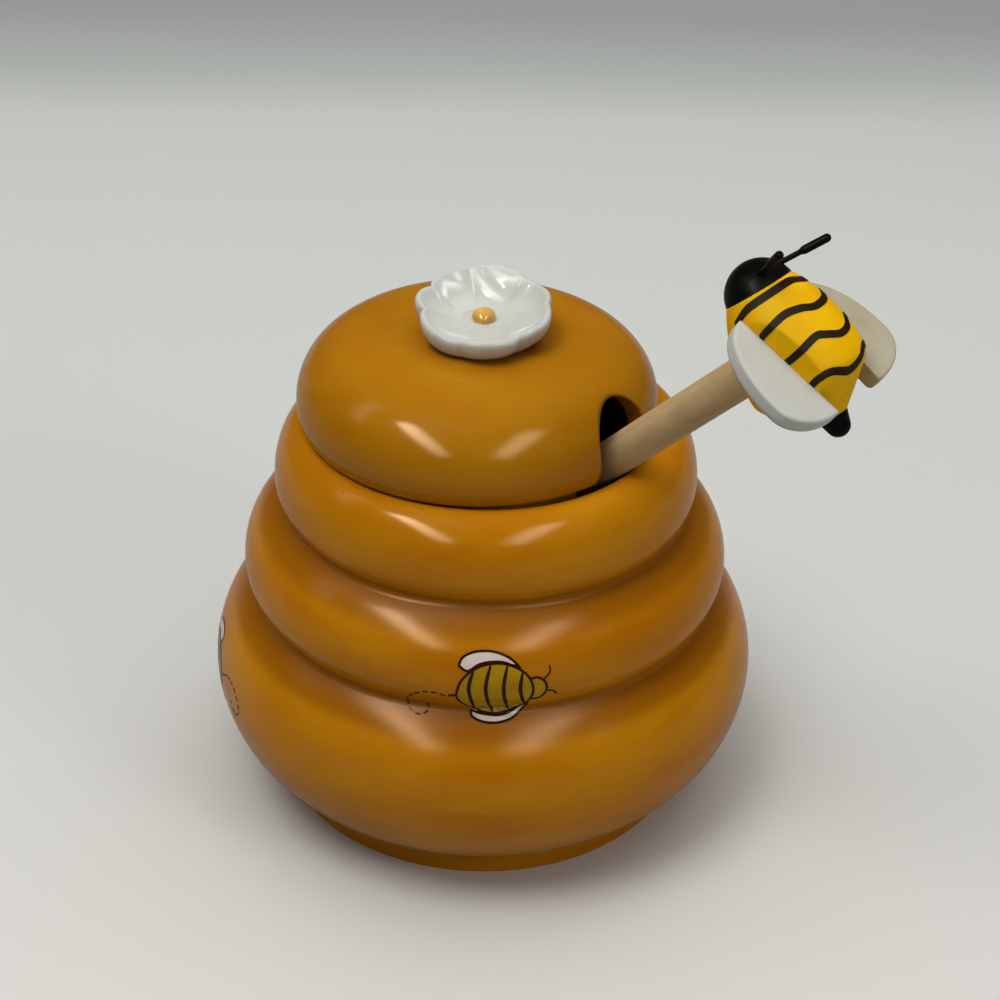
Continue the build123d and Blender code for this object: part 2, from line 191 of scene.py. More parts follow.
join(g, bandShaded, go.inputs["Color"])
join(g, peel.outputs["Fac"], go.inputs["Height"])
join(g, dull, go.inputs["Roughness"])

# hand paint: faint streaks and a slightly uneven film over wood
pt = {"worn": (0.4, 0.75), "detail": 3.0, "roughness": 0.55, "skin": 420.0, "skinDetail": 2.0, "sway": 0.15}
paintGroup, gi, go = makeGroup(
    "paintLook",
    [("Base", "NodeSocketColor", (0.8, 0.8, 0.8, 1)), ("Worn", "NodeSocketColor", (0.5, 0.5, 0.5, 1)),
     ("Scale", "NodeSocketFloat", 180.0), ("Gloss", "NodeSocketFloat", 0.3)])
g = paintGroup
spot = addNode(g, "ShaderNodeTexCoord", (-1100, 300)).outputs["Object"]
blotch = addNode(g, "ShaderNodeTexNoise", (-600, 200), Vector=spot, Scale=gi.outputs["Scale"],
                 Detail=pt["detail"], Roughness=pt["roughness"])
worn = mixColours(g, (-100, 200), rescale(g, (-350, 200), blotch.outputs["Fac"], pt["worn"]),
                  gi.outputs["Base"], gi.outputs["Worn"])
skin = addNode(g, "ShaderNodeTexNoise", (-600, -150), Vector=spot, Scale=pt["skin"], Detail=pt["skinDetail"])
sheen = calculate(g, "MULTIPLY_ADD", (-350, -150), blotch.outputs["Fac"], pt["sway"], gi.outputs["Gloss"])
join(g, worn, go.inputs["Color"])
join(g, skin.outputs["Fac"], go.inputs["Height"])
join(g, sheen, go.inputs["Roughness"])

rampTop = 100  # mm, the height that the ramp of painted crease shade ends at
black = (0, 0, 0, 1)


def lookMaterial(name, group, bump, bumpDepth, bevel=0.0, tint=None, level=0.5, shadeBands=(), **values):
    m, nt, bsdf = newMaterial(name)
    n = useGroup(nt, group, **values)
    join(nt, n.outputs["Color"], bsdf.inputs["Base Color"])
    join(nt, n.outputs["Roughness"], bsdf.inputs["Roughness"])
    b = addNode(nt, "ShaderNodeBump", (-250, -300), Strength=bump, Distance=bumpDepth, Height=n.outputs["Height"])
    if bevel:
        soft = addNode(nt, "ShaderNodeBevel", (-450, -500), samples=8, Radius=bevel)
        join(nt, soft.outputs["Normal"], b.inputs["Normal"])
    join(nt, b.outputs["Normal"], bsdf.inputs["Normal"])
    if tint:
        bsdf.inputs["Specular Tint"].default_value = tint
    bsdf.inputs["Specular IOR Level"].default_value = level
    if shadeBands:
        # painted shade: at these heights the glaze is coloured darker on the shoulder under each ring's overhang,
        # where its shadow falls, and it is less glossy there
        spot = addNode(nt, "ShaderNodeTexCoord", (-1500, 0)).outputs["Object"]
        split = addNode(nt, "ShaderNodeSeparateXYZ", (-1300, 0), Vector=spot)
        share = rescale(nt, (-1100, 0), split.outputs["Z"], (0, rampTop * mm))
        stops = [(high / rampTop, (amount, dulled, 0, 1)) for high, amount, dulled in shadeBands]
        ramp = ramped(nt, (-900, 0), share, [(0, black)] + stops + [(1, black)], "EASE")
        pair = addNode(nt, "ShaderNodeSeparateColor", (-750, -150), Color=ramp)
        join(nt, pair.outputs["Red"], n.inputs["Pool"])
        join(nt, pair.outputs["Green"], n.inputs["Dull"])
    return m


glaze = {
    # the lid colours are a darker copy of the honey colours, painted shade that offsets the stronger light on the
    # lid's top
    "honey": srgb(190, 125, 11), "honeyDrift": srgb(176, 104, 3), "lid": srgb(170, 114, 13),
    "lidShadedDrift": srgb(160, 97, 4), "speck": srgb(96, 52, 10), "bandShade": srgb(142, 82, 1),
    "tint": (1.0, 0.8, 0.55, 1), "gloss": 0.1, "level": 0.2,
    # height in mm, depth of the painted shade and loss of gloss under each ring's overhang in the creases
    "shadeBands": [(39, 0, 0.1), (42, 0.8, 0.2), (44.4, 1, 0.4), (45.7, 0.8, 1), (47.4, 0, 0),
              (59.6, 0, 0.1), (62.8, 0.8, 0.2), (64.8, 1, 0.4), (66.2, 0.7, 1), (67.6, 0, 0)],
}
honeyGlaze = lookMaterial("honeyGlaze", glazeGroup, bump=0.12, bumpDepth=0.0004,
                          tint=glaze["tint"], level=glaze["level"],
                          shadeBands=glaze["shadeBands"], Base=glaze["honey"], Drift=glaze["honeyDrift"],
                          Speck=glaze["speck"], Gloss=glaze["gloss"], PoolColor=glaze["bandShade"])
# painted shade: the lid's glaze is the honey glaze made darker, so the top, which the ceiling light strikes most,
# keeps the tone of the rings
lidShadedGlaze = lookMaterial("lidShadedGlaze", glazeGroup, bump=0.12, bumpDepth=0.0004,
                        bevel=0.0011, tint=glaze["tint"],
                        level=glaze["level"], Base=glaze["lid"], Drift=glaze["lidShadedDrift"],
                        Speck=glaze["speck"], Gloss=glaze["gloss"])
# painted highlight: a near-white laid along the creases of the china flower
glintWhite = srgb(246, 246, 240)
whiteGlaze = lookMaterial("whiteGlaze", glazeGroup, bump=0.1, bumpDepth=0.0003,
                          level=0.25, Base=srgb(200, 201, 195),
                          Drift=srgb(190, 190, 180), Speck=srgb(208, 204, 190), DriftScale=60.0, SpeckSize=0.02,
                          Gloss=0.06)
nt = whiteGlaze.node_tree
# the painted highlight along the ridges mixes the china towards this near-white
ridgeGlint = addNode(nt, "ShaderNodeAttribute", (-900, 300), attribute_name="ridgeGlint")
glinted = mixColours(nt, (-150, 300), ridgeGlint.outputs["Fac"], nt.nodes["Group"].outputs["Color"], glintWhite)
join(nt, glinted, nt.nodes["Principled BSDF"].inputs["Base Color"])
yellowGlaze = lookMaterial("yellowGlaze", glazeGroup, bump=0.1, bumpDepth=0.0002,
                           Base=srgb(216, 168, 78), Drift=srgb(194, 142, 56),
                           Speck=srgb(150, 100, 30), DriftScale=260.0, SpeckSize=0.03, Gloss=0.06)
blackPaint = lookMaterial("blackPaint", paintGroup, bump=0.15, bumpDepth=0.0002,
                          level=0.06, Base=srgb(4, 6, 4),
                          Worn=srgb(14, 16, 15), Gloss=0.3)
whitePaint = lookMaterial("whitePaint", paintGroup, bump=0.06, bumpDepth=0.0002,
                          bevel=0.001, level=0.3, Base=srgb(192, 192, 184),
                          Worn=srgb(184, 183, 172), Scale=90.0, Gloss=0.3)
# painted shade: the far wing's paint is the white wing paint made darker and beige, for the wing that lies in shadow
# behind the body
shadedWingPaint = lookMaterial("shadedWingPaint", paintGroup, bump=0.06, bumpDepth=0.0002,
                          bevel=0.0006, Base=srgb(176, 168, 146),
                          Worn=srgb(160, 148, 116), Scale=90.0, Gloss=0.3)
yellowPaint = lookMaterial("yellowPaint", paintGroup, bump=0.1, bumpDepth=0.0003,
                           bevel=0.0012, level=0.05,
                           Base=srgb(232, 180, 3), Worn=srgb(222, 160, 1), Scale=140.0, Gloss=0.45)
stripePaint = lookMaterial("stripePaint", paintGroup, bump=0.1, bumpDepth=0.0002,
                           level=0.12, Base=srgb(26, 16, 6),
                           Worn=srgb(46, 30, 8), Scale=300.0, Gloss=0.5)
inkLine = lookMaterial("inkLine", glazeGroup, bump=0.05, bumpDepth=0.0002,
                       tint=glaze["tint"], level=glaze["level"],
                       Base=srgb(36, 14, 8), Drift=srgb(48, 20, 10), Speck=srgb(30, 14, 8), Gloss=0.12)
inkYellow = lookMaterial("inkYellow", glazeGroup, bump=0.05, bumpDepth=0.0002,
                         tint=glaze["tint"], level=glaze["level"],
                         Base=srgb(178, 138, 10), Drift=srgb(160, 120, 6), Speck=srgb(140, 96, 8), DriftScale=120.0,
                         Gloss=0.1)
inkWhite = lookMaterial("inkWhite", glazeGroup, bump=0.05, bumpDepth=0.0002,
                        Base=srgb(222, 206, 194), Drift=srgb(212, 194, 180),
                        Speck=srgb(200, 180, 160), DriftScale=120.0, Gloss=0.1)
print("materials ready")


# bare wood: long pale grain along the handle
bare = {
    "lean": 45.5, "stretch": (0.3, 1, 1), "grain": 700.0, "detail": 4.0, "roughness": 0.55,
    "stops": [(0.3, srgb(177, 147, 101)), (0.68, srgb(191, 162, 114))],
    "bump": 0.25, "bumpDepth": 0.0002, "shine": 0.62,
}
wood, nt, bsdf = newMaterial("bareWood")
spot = addNode(nt, "ShaderNodeTexCoord", (-1200, 0)).outputs["Object"]
turn = addNode(nt, "ShaderNodeMapping", (-1000, 0), Vector=spot, Rotation=(0, rnd(bare["lean"]), 0))
stretch = addNode(nt, "ShaderNodeMapping", (-800, 0), Vector=turn.outputs["Vector"], Scale=bare["stretch"])
grain = addNode(nt, "ShaderNodeTexNoise", (-600, 100), Vector=stretch.outputs["Vector"], Scale=bare["grain"],
                Detail=bare["detail"], Roughness=bare["roughness"]).outputs["Fac"]
join(nt, ramped(nt, (-350, 100), grain, bare["stops"]), bsdf.inputs["Base Color"])
woodBump = addNode(nt, "ShaderNodeBump", (-250, -250), Strength=bare["bump"], Distance=bare["bumpDepth"], Height=grain)
join(nt, woodBump.outputs["Normal"], bsdf.inputs["Normal"])
bsdf.inputs["Roughness"].default_value = bare["shine"]
print("wood ready")


# ---------------------------------------------------------------- carried-over pieces
nodeLooks = {
    "pot": honeyGlaze, "lid": lidShadedGlaze, "flower_knob": whiteGlaze, "flower_centre": yellowGlaze,
    "dipper": wood, "bee_body": yellowPaint, "bee_head": blackPaint, "stinger": blackPaint,
    "antenna_left": blackPaint, "antenna_right": blackPaint, "wing_left": whitePaint, "wing_right": shadedWingPaint,
}
for name, mat in nodeLooks.items():
    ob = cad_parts[name]
    for s in range(len(ob.data.materials)):
        ob.data.materials[s] = mat
print("node looks set")


# ---------------------------------------------------------------- flower
flower = {
    "x": 0.1, "y": -1.6, "base": 102.026, "steps": 252, "reach": 13.85, "brim": 7.0,
    # the china stands tall towards this turn and droops opposite it
    "tall": 127.0, "tallShare": 0.06, "bowlFloor": 1.5, "tilt": 0.078, "tiltFrom": 8.6, "tiltOver": 3.0,
    "droop": 1.05, "droopBend": 0.7, "droopFrom": 3.7, "droopOver": 3.3,
    # the petals at this turn curl up from the lid
    "raised": -5.0, "raise": 0.9, "raiseFrom": 10.0, "raiseOver": 2.0,
    # the petal at this turn reaches further out
    "lip": 106.0, "lipReach": 1.1, "lipHalf": 34.0, "lipBend": 0.7, "lipFrom": 3.5, "lipOver": 3.0,
    # scale, shift and depth of the slow noise round the brim
    "ruffle": 0.8, "ruffleNoise": (2.1, 5, 1.3), "sway": 0.4, "swayNoise": (1.6, 2, 6.2),
    "waveBend": 0.6, "fold": 0.5, "foldBend": 1.6, "foldFrom": 6.5, "foldOver": 6.0,
    "creaseEnds": 0.35, "glintGain": 1.3,
    # turn and depth of each cleft between two petals
    "clefts": [(37, 0.9), (87, 1.3), (138.5, 1.0), (189, 2.0), (226, 1.9), (285, 1.0), (342, 1.5)],
    # start and end of each crease in the china: turn, radius; then its height and half width
    "creases": [((137, 11.2), (101, 7.2), 1.1, 0.45), ((122, 12.0), (84, 11.6), 0.6, 0.45),
                ((186, 8.8), (171, 11.0), 0.7, 0.4), ((171, 11.0), (155, 10.0), 0.7, 0.4),
                ((-20, 10.2), (8, 10.5), 0.4, 0.4), ((-72, 10.6), (-102, 10.9), 0.3, 0.5)],
}
# radius, height, share of the lobed outline, share of the ruffle, bowl side
flowerRun = [
    (0, 0, 0, 0, 0), (4, 0, 0, 0, 0), (8.4, 0, 0, 0, 0), (9.6, 0.12, 0.15, 0, 0), (10.6, 0.5, 0.35, 0, 0),
    (11.6, 1.15, 0.6, 0, 0), (12.4, 1.95, 0.8, 0.1, 0), (13.0, 2.85, 1, 0.2, 0), (13.4, 3.8, 1, 0.35, 0),
    (13.65, 4.8, 1, 0.6, 0), (13.75, 5.6, 1, 0.85, 0), (13.7, 6.2, 1, 1, 0), (13.5, 6.7, 1, 1, 0),
    (13.2, 6.95, 1, 1, 0), (12.85, 6.98, 1, 1, 1), (12.5, 6.8, 1, 1, 1), (12.15, 6.45, 1, 0.95, 1),
    (11.7, 6.0, 1, 0.85, 1), (11.1, 5.5, 1, 0.65, 1), (10.3, 5.0, 1, 0.45, 1), (9.4, 4.58, 0.9, 0.3, 1),
    (8.3, 4.17, 0.7, 0.15, 1), (7.2, 3.86, 0.5, 0.05, 1), (6.2, 3.68, 0.3, 0, 1), (5.2, 3.6, 0.1, 0, 1),
    (4.4, 3.58, 0, 0, 1), (4.15, 3.5, 0, 0, 1), (3.95, 3.34, 0, 0, 1), (3.7, 3.24, 0, 0, 1), (3, 3.2, 0, 0, 1),
    (1.5, 3.2, 0, 0, 1), (0, 3.2, 0, 0, 1),
]


def onDisc(turn, radius):
    return Vector((math.cos(rnd(turn)), math.sin(rnd(turn)))) * radius


def clamp(value):
    return min(1, max(0, value))


def slowNoise(ang, scale, shift, depth):
    return noise.noise(Vector((math.cos(ang) * scale + shift, math.sin(ang) * scale, depth)))


bm = bmesh.new()
lobeOf = bm.verts.layers.float.new("lobe")
ruffOf = bm.verts.layers.float.new("ruff")
bowlOf = bm.verts.layers.float.new("bowl")
glintOf = bm.verts.layers.float.new("ridgeGlint")  # painted highlight: where a paler white is laid along a ridge
run = []
for radius, high, lobe, ruff, bowl in flowerRun:
    v = bm.verts.new((radius, 0, high))
    v[lobeOf], v[ruffOf], v[bowlOf] = lobe, ruff, bowl
    run.append(v)
edges = [bm.edges.new(pair) for pair in zip(run, run[1:])]
bmesh.ops.subdivide_edges(bm, edges=edges, cuts=1)
bmesh.ops.spin(bm, geom=bm.verts[:] + bm.edges[:], cent=(0, 0, 0), axis=(0, 0, 1), angle=math.tau,
               steps=flower["steps"], use_merge=True, use_duplicate=False)
bmesh.ops.remove_doubles(bm, verts=bm.verts, dist=1e-4)
clefts = flower["clefts"] + [(flower["clefts"][0][0] + 360, flower["clefts"][0][1])]
for v in bm.verts:
    radius = math.hypot(v.co.x, v.co.y)
    if radius < 1e-3:  # the two poles stay
        continue
    ang = math.atan2(v.co.y, v.co.x)
    high = v.co.z
    inBowl = v[bowlOf] > 0.5
    # wave is 1 in the middle of a petal and 0 in the cleft beside it
    turned = (math.degrees(ang) - clefts[0][0]) % 360 + clefts[0][0]
    for before, after in zip(clefts, clefts[1:]):
        if turned < after[0]:
            break
    share = (turned - before[0]) / (after[0] - before[0])
    wave = max(0, math.sin(math.pi * share)) ** flower["waveBend"]
    depth = before[1] + (after[1] - before[1]) * share
    sway = abs(slowNoise(ang, *flower["swayNoise"]))
    grow = 1 - (depth * (1 - wave) + flower["sway"] * sway) / flower["reach"] * v[lobeOf]
    if not inBowl:
        lip = max(0, 1 - abs(ang - rnd(flower["lip"])) / rnd(flower["lipHalf"])) ** flower["lipBend"]
        grow += flower["lipReach"] * lip * clamp((high - flower["lipFrom"]) / flower["lipOver"]) / flower["reach"]
    v.co.x *= grow
    v.co.y *= grow
    # the far petals stand taller and the near right ones curl up from the lid
    tall = math.cos(ang - rnd(flower["tall"]))
    lift = flower["tallShare"] * tall * max(0, high - flower["bowlFloor"] * v[bowlOf]) * v[lobeOf]
    curl = max(0, math.cos(ang - rnd(flower["raised"]))) * clamp((radius - flower["raiseFrom"]) / flower["raiseOver"])
    lift += flower["raise"] * curl * (1 - v[bowlOf]) * max(0, 1 - high / flower["brim"])
    lift += v[ruffOf] * flower["ruffle"] * slowNoise(ang, *flower["ruffleNoise"])
    lift += flower["tilt"] * radius * tall * clamp((radius - flower["tiltFrom"]) / flower["tiltOver"])
    droop = flower["droop"] * max(0, -tall) ** flower["droopBend"]
    if inBowl:
        lift -= droop * max(0, high - flower["droopFrom"]) / flower["droopOver"]
        # the folds between the petals stand up as soft ridges inside the bowl
        climb = clamp((radius - flower["foldFrom"]) / flower["foldOver"])
        lift += flower["fold"] * (1 - wave) ** flower["foldBend"] * math.sin(math.pi * climb)
        for start, end, tallness, half in flower["creases"]:
            a, b = onDisc(*start), onDisc(*end)
            along = clamp((v.co.xy - a).dot(b - a) / (b - a).length_squared)
            off = (v.co.xy - a - (b - a) * along).length / half
            ends = flower["creaseEnds"]
            ridge = math.exp(-off * off / 2) * (ends + (1 - ends) * math.sin(math.pi * along))
            lift += tallness * ridge
            # each crease also gets the painted highlight along its ridge
            v[glintOf] = min(1, v[glintOf] + ridge * min(1, tallness * flower["glintGain"]))
    else:
        lift -= droop * high / flower["brim"]
    v.co.z = high + lift
bmesh.ops.transform(bm, matrix=Matrix.Scale(mm, 4), verts=bm.verts)
bmesh.ops.translate(bm, verts=bm.verts, vec=(flower["x"] * mm, flower["y"] * mm, flower["base"] * mm))
finish(bm, "flower_china", whiteGlaze, "lid", "flower_knob")

bead = {"radius": 2.3, "squash": 0.76, "high": 3.8, "dent": 0.05, "dentScale": 600, "around": 48, "up": 28}
bm = bmesh.new()
bmesh.ops.create_uvsphere(bm, u_segments=bead["around"], v_segments=bead["up"], radius=bead["radius"] * mm)
bmesh.ops.scale(bm, vec=(1, 1, bead["squash"]), verts=bm.verts)
for v in bm.verts:
    v.co *= 1 + bead["dent"] * noise.noise(v.co * bead["dentScale"])
bmesh.ops.translate(bm, verts=bm.verts,
                    vec=(flower["x"] * mm, flower["y"] * mm, (flower["base"] + bead["high"]) * mm))
finish(bm, "flower_bead", yellowGlaze, "lid", "flower_centre")
print("flower ready")


# ---------------------------------------------------------------- paint laid on a surface
def paintTree(node):
    # the surface the paint follows, in the rest position
    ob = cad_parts[node]
    bm = bmesh.new()
    bm.from_mesh(ob.data)
    bm.transform(ob.matrix_world)
    tree = BVHTree.FromBMesh(bm)
    bm.free()
    return tree


def smoothRun(points, per=6):
    # an even curve through a few given points
    pts = [Vector(p).to_3d() for p in points]
    out = []
    for i in range(len(pts) - 1):
        before = pts[i - 1] if i else pts[i]
        after = pts[i + 2] if i + 2 < len(pts) else pts[i + 1]
        h1 = pts[i] + (pts[i + 1] - before) / 6
        h2 = pts[i + 1] - (after - pts[i]) / 6
        out += interpolate_bezier(pts[i], h1, h2, pts[i + 1], per + 1)[:-1]
    return [p.to_2d() for p in out + [pts[-1]]]


def strokeOutline(points, width, taper=0.0, per=6):
    # the outline of one brush stroke; taper narrows it towards its ends, and each end is a blunt point
    pointShare = 0.3
    mids = smoothRun(points, per)
    n = len(mids) - 1
    left, right = [], []
    for i, p in enumerate(mids):
        along = (mids[min(i + 1, n)] - mids[max(i - 1, 0)]).normalized()
        t = i / n
        half = width / 2 * (1 - taper * abs(2 * t - 1) ** 3)
        side = Vector((-along.y, along.x)) * half
        left.append(p + side)
        right.append(p - side)
    tip = (mids[-1] - mids[-2]).normalized() * width * pointShare * (1 - taper)
    tail = (mids[0] - mids[1]).normalized() * width * pointShare * (1 - taper)
    return left + [mids[-1] + tip] + right[::-1] + [mids[0] + tail]


def layPaint(name, outlines, place, film, cell, mat, body):
    # thin closed films cut on a grid fine enough to follow the surface
    whole = bmesh.new()
    for outline in outlines:
        bm = bmesh.new()
        face = bm.faces.new([bm.verts.new((p[0], p[1], 0)) for p in outline])
        if face.normal.z < 0:
            face.normal_flip()
        bmesh.ops.triangulate(bm, faces=bm.faces, ngon_method="EAR_CLIP")
        for axis in (0, 1):
            lo = min(v.co[axis] for v in bm.verts)
            hi = max(v.co[axis] for v in bm.verts)
            for k in range(1, int((hi - lo) / cell) + 1):
                co, no = [0, 0, 0], [0, 0, 0]
                co[axis], no[axis] = lo + k * cell, 1
                bmesh.ops.bisect_plane(bm, geom=bm.verts[:] + bm.edges[:] + bm.faces[:], plane_co=co, plane_no=no)
        top = bmesh.ops.extrude_face_region(bm, geom=bm.faces[:])
        for v in top["geom"]:
            if isinstance(v, bmesh.types.BMVert):
                v.co.z = film
        for v in bm.verts:
            if v.co.z == 0:
                v.co.z = -film
        bmesh.ops.recalc_face_normals(bm, faces=bm.faces)
        for v in bm.verts:
            v.co = place(v.co.x, v.co.y, v.co.z)
        part = bpy.data.meshes.new("part")
        bm.to_mesh(part)
        bm.free()
        whole.from_mesh(part)
        bpy.data.meshes.remove(part)
    return finish(whole, name, mat, body, None, sharp=40)


# ---------------------------------------------------------------- printed bees on the pot
potTree = paintTree("pot")
# lowest height measured, step and number of steps up the side, a radius outside the pot and one near its belly
potSide = {"low": 12, "step": 0.1, "steps": 560, "outside": 80, "belly": 50}


def potPlacer(turn, middle, twist=0, mirror=1):
    # u runs round the pot and v up its side, both in mm from a point at this turn and height
    heights = [potSide["low"] + potSide["step"] * k for k in range(potSide["steps"])]
    across = Vector((math.cos(rnd(turn)), math.sin(rnd(turn)), 0))
    radii = []
    for z in heights:
        hit = potTree.ray_cast((across * potSide["outside"] + Vector((0, 0, z))) * mm, -across)[0]
        radii.append(Vector((hit.x, hit.y)).length / mm)
    lengths = [0.0]
    for k in range(1, len(heights)):
        lengths.append(lengths[-1] + math.hypot(radii[k] - radii[k - 1], heights[k] - heights[k - 1]))
    start = lengths[round((middle - potSide["low"]) / potSide["step"])]
    swing = Matrix.Rotation(rnd(twist), 2)

    def place(u, v, lift):
        u, v = swing @ Vector((u * mirror, v))
        k = 0
        while k < len(lengths) - 2 and lengths[k + 1] < v + start:
            k += 1
        part = (v + start - lengths[k]) / (lengths[k + 1] - lengths[k])
        z = heights[k] + part * (heights[k + 1] - heights[k])
        ang = rnd(turn) + u / potSide["belly"]
        out = Vector((math.cos(ang), math.sin(ang), 0))
        hit, normal = potTree.ray_cast((out * potSide["outside"] + Vector((0, 0, z))) * mm, -out)[:2]
        return hit + normal * lift * mm

    return place


pb = {
    "line": 0.5, "fine": 0.34, "bandShare": 1.5, "bandTaper": 0.6, "dash": 0.9, "gap": 0.7, "dashStart": 14,
    "cell": 0.4, "whiteFilm": 0.03, "yellowFilm": 0.05, "lineFilm": 0.08,
    "body": [(-7.7, -1.6), (-7.0, 1.4), (-5.2, 3.7), (-2.6, 5.2), (0.4, 5.6), (3.2, 4.9), (5.6, 3.2), (6.8, 0.9),
             (6.9, -1.6), (5.8, -4.2), (3.6, -6.4), (0.6, -7.5), (-2.6, -7.2), (-5.4, -5.4), (-7.2, -3.2),
             (-7.7, -1.6)],
    "head": [(6.5, 2.1), (7.9, 2.2), (9.2, 1.2), (9.6, -0.5), (9.0, -2.1), (7.8, -2.9), (6.6, -2.7)],
    "upperWing": [(-7.3, 5.0), (-6.6, 6.6), (-4.6, 7.7), (-1.8, 8.0), (0.9, 7.4), (3.1, 6.1), (4.4, 4.4),
                  (1.6, 5.7), (-1.0, 5.9), (-3.4, 5.4), (-5.6, 4.0), (-7.3, 5.0)],
    "lowerWing": [(-5.0, -6.9), (-4.6, -8.2), (-2.4, -9.2), (0.6, -9.3), (3.4, -8.4), (5.6, -6.3), (6.0, -4.6),
                  (3.4, -7.0), (0.6, -7.9), (-2.6, -7.6), (-5.0, -6.9)],
    "bands": [[(-4.5, 3.9), (-5.3, 0.2), (-4.2, -5.9)], [(-1.2, 5.3), (-2.1, 0.0), (-0.7, -7.2)],
              [(2.0, 5.1), (1.3, 0.0), (2.4, -6.6)], [(4.9, 3.5), (4.5, -0.2), (5.4, -4.2)]],
    "feelers": [[(9.0, 1.7), (10.2, 3.0), (10.2, 4.4)], [(9.5, -1.0), (10.8, -1.3), (11.7, -2.3)]],
    "sting": [(-7.7, -1.6), (-9.2, -1.9)],
    "trail": [(-9.9, -2.0), (-12.0, -1.5), (-14.6, -1.9), (-16.8, -3.6), (-17.9, -6.0), (-17.0, -8.2), (-14.9, -8.8),
              (-13.4, -7.6), (-13.8, -6.2)],
}


def dashes(points, dash, gap):
    run = smoothRun(points, pb["dashStart"])
    out, current, walked, drawing = [], [run[0]], 0, True
    for a, b in zip(run, run[1:]):
        walked += (b - a).length
        if drawing:
            current.append(b)
        if walked > (dash if drawing else gap):
            if drawing:
                out.append(current)
            drawing, walked, current = not drawing, 0, [b]
    return out


def printBee(name, place):
    wings = [smoothRun(pb["upperWing"][:-1], 3), smoothRun(pb["lowerWing"][:-1], 3)]
    layPaint(name + "_white", wings, place, pb["whiteFilm"], pb["cell"], inkWhite, "pot")
    solid = [smoothRun(pb["body"])[:-1], smoothRun(pb["head"])]
    layPaint(name + "_yellow", solid, place, pb["yellowFilm"], pb["cell"], inkYellow, "pot")
    lines = [strokeOutline(pb[k], pb["line"]) for k in ("body", "head", "upperWing", "lowerWing", "sting")]
    lines += [strokeOutline(band, pb["line"] * pb["bandShare"], pb["bandTaper"]) for band in pb["bands"]]
    lines += [strokeOutline(feeler, pb["fine"]) for feeler in pb["feelers"]]
    lines += [strokeOutline(dash, pb["fine"], 0, 2) for dash in dashes(pb["trail"], pb["dash"], pb["gap"])]
    layPaint(name + "_lines", lines, place, pb["lineFilm"], pb["cell"], inkLine, "pot")


printBee("bee_front", potPlacer(-50.0, 51.9))
printBee("bee_side", potPlacer(-136.0, 27.2, 26, -1))
print("bees printed")


# ---------------------------------------------------------------- stripes on the wooden bee
beeTree = paintTree("bee_body")
bee = {"lean": 45.500284, "tilt": 4.0, "rise": 0.5, "rest": (30.9573, 0, 84.7554), "along": 50.1,
       "girth": 10, "outside": 30}
dipperWay = Vector((math.cos(rnd(bee["lean"])), 0, math.sin(rnd(bee["lean"]))))
beeCentre = Vector(bee["rest"]) + dipperWay * (bee["along"] + bee["rise"])
bodyLean = rnd(bee["lean"] - bee["tilt"])
bodyWay = Vector((math.sin(bodyLean), 0, -math.cos(bodyLean)))
bodyUp = Vector((math.cos(bodyLean), 0, math.sin(bodyLean)))
bodyLeft = bodyWay.cross(bodyUp)


def beePlace(u, v, lift):
    # u is the turn from the back towards the left wing, as mm on the girth, and v runs to the tail
    ang = u / bee["girth"]
    out = bodyUp * math.cos(ang) + bodyLeft * math.sin(ang)
    hit, normal = beeTree.ray_cast((beeCentre + bodyWay * v + out * bee["outside"]) * mm, -out)[:2]
    return hit + normal * lift * mm


stripes = {
    "width": 1.35, "taper": 0.15, "film": 0.1, "cell": 0.35,
    # turn from the back and place along the body of each given point
    "runs": [[(104, -8.4), (97, -8.8), (84, -9.6), (69, -10.0), (38, -10.2), (3, -10.2), (-21, -9.2), (-45, -9.0),
              (-75, -9.6)],
             [(78, -4.4), (69, -4.9), (43, -5.9), (23, -5.4), (7, -4.4), (-16, -4.6), (-38, -5.8), (-62, -5.2)],
             [(78, 1.6), (66, 1.4), (53, 1.0), (29, -0.1), (17, 0.7), (3, 1.8), (-14, 1.4), (-30, -0.1), (-58, 0.9)],
             [(58, 7.0), (45, 6.3), (33, 6.4), (14, 7.9), (-6, 7.3), (-20, 5.9), (-38, 6.0), (-55, 6.6)]],
}
outlines = []
for run in stripes["runs"]:
    points = [(rnd(turn) * bee["girth"], v) for turn, v in run]
    outlines.append(strokeOutline(points, stripes["width"], stripes["taper"]))
layPaint("bee_stripes", outlines, beePlace, stripes["film"], stripes["cell"], stripePaint, "dipper")
print("stripes painted")


# ---------------------------------------------------------------- stage
stage = {
    "size": 3.0, "turn": -37, "ends": (-0.1, 0.5), "cloud": 5.0, "cloudDetail": 2.0, "cloudShare": 0.03,
    # how far back each tone of the floor lies, as a share of the way between the two ends
    "tones": [(0.0, (214, 211, 206)), (0.167, (203, 202, 197)), (0.625, (201, 204, 199)), (0.8, (197, 200, 196)),
              (0.883, (177, 181, 177)), (1.0, (158, 161, 158))],
    "bounce": srgb(160, 158, 153), "roughness": 0.6, "level": 0.2,
}
bm = bmesh.new()
bmesh.ops.create_grid(bm, x_segments=2, y_segments=2, size=stage["size"])
floorMat, nt, bsdf = newMaterial("paleFloor")
spot = addNode(nt, "ShaderNodeTexCoord", (-1200, 0)).outputs["Object"]
turn = addNode(nt, "ShaderNodeMapping", (-1000, 0), Vector=spot, Rotation=(0, 0, rnd(stage["turn"])))
split = addNode(nt, "ShaderNodeSeparateXYZ", (-800, 0), Vector=turn.outputs["Vector"])
cloud = addNode(nt, "ShaderNodeTexNoise", (-800, -300), Vector=spot, Scale=stage["cloud"], Detail=stage["cloudDetail"])
wobble = calculate(nt, "MULTIPLY_ADD", (-600, -200), cloud.outputs["Fac"], stage["cloudShare"], split.outputs["Y"])
tones = [(where, srgb(*colour)) for where, colour in stage["tones"]]
